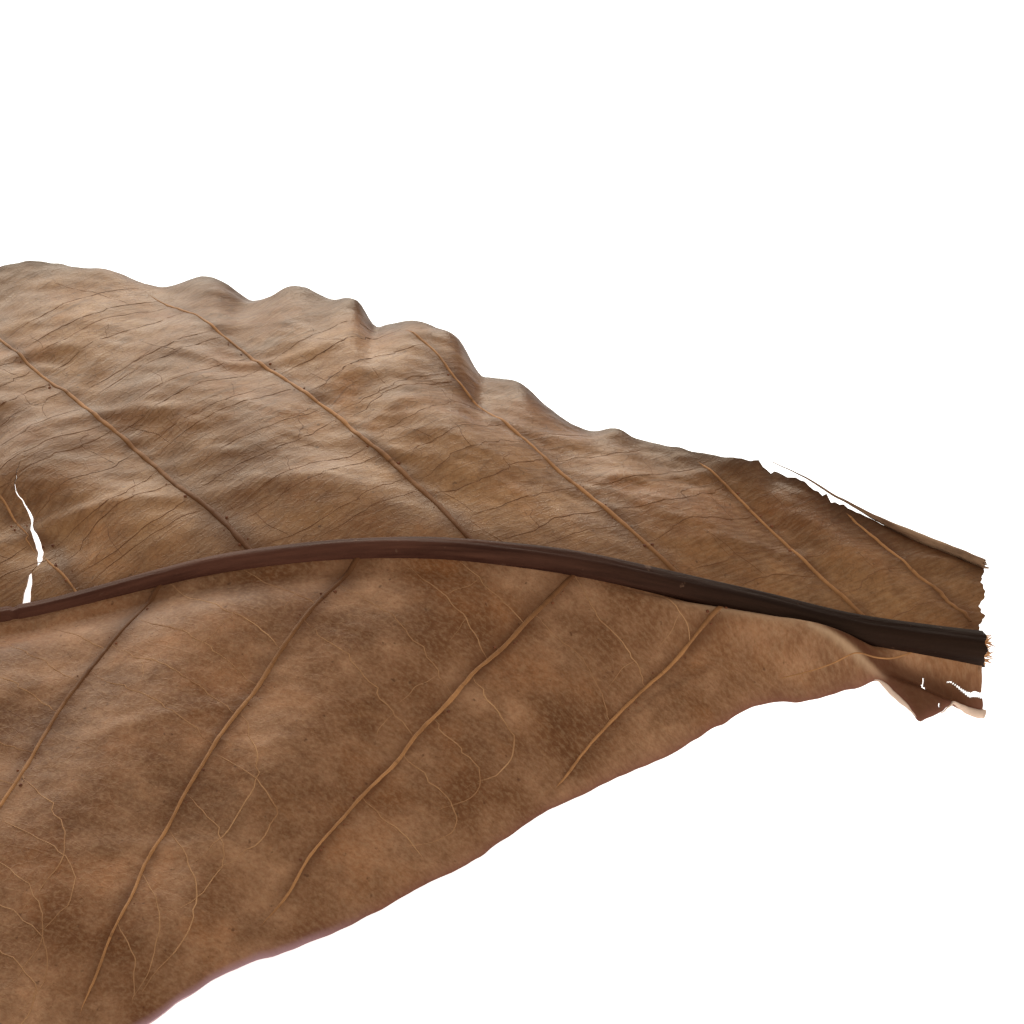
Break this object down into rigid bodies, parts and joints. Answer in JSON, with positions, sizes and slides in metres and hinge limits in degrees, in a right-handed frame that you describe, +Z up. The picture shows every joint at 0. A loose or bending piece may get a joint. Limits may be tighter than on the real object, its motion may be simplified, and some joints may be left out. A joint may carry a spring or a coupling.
{
  "type": "autumn leaf",
  "caption": "Large dry brown leaf lying underside up, with an arched blade, a thick dark midrib, raised side veins, a wavy rim and a snapped-off stalk.",
  "frame": {"origin": "centre of the leaf's footprint, on the surface that it rests on", "axes": "+Z up, out of the veined underside; +X along the leaf towards its broken base, so the tip points to -X"},
  "size_m": [0.2054, 0.1198, 0.0274],
  "materials": {
    "blade": "matte",
    "midrib": "matte",
    "vein": "matte",
    "torn_fibre": "matte"
  },
  "bodies": {
    "root": {"leaf": "blade"}
  },
  "joints": []
}
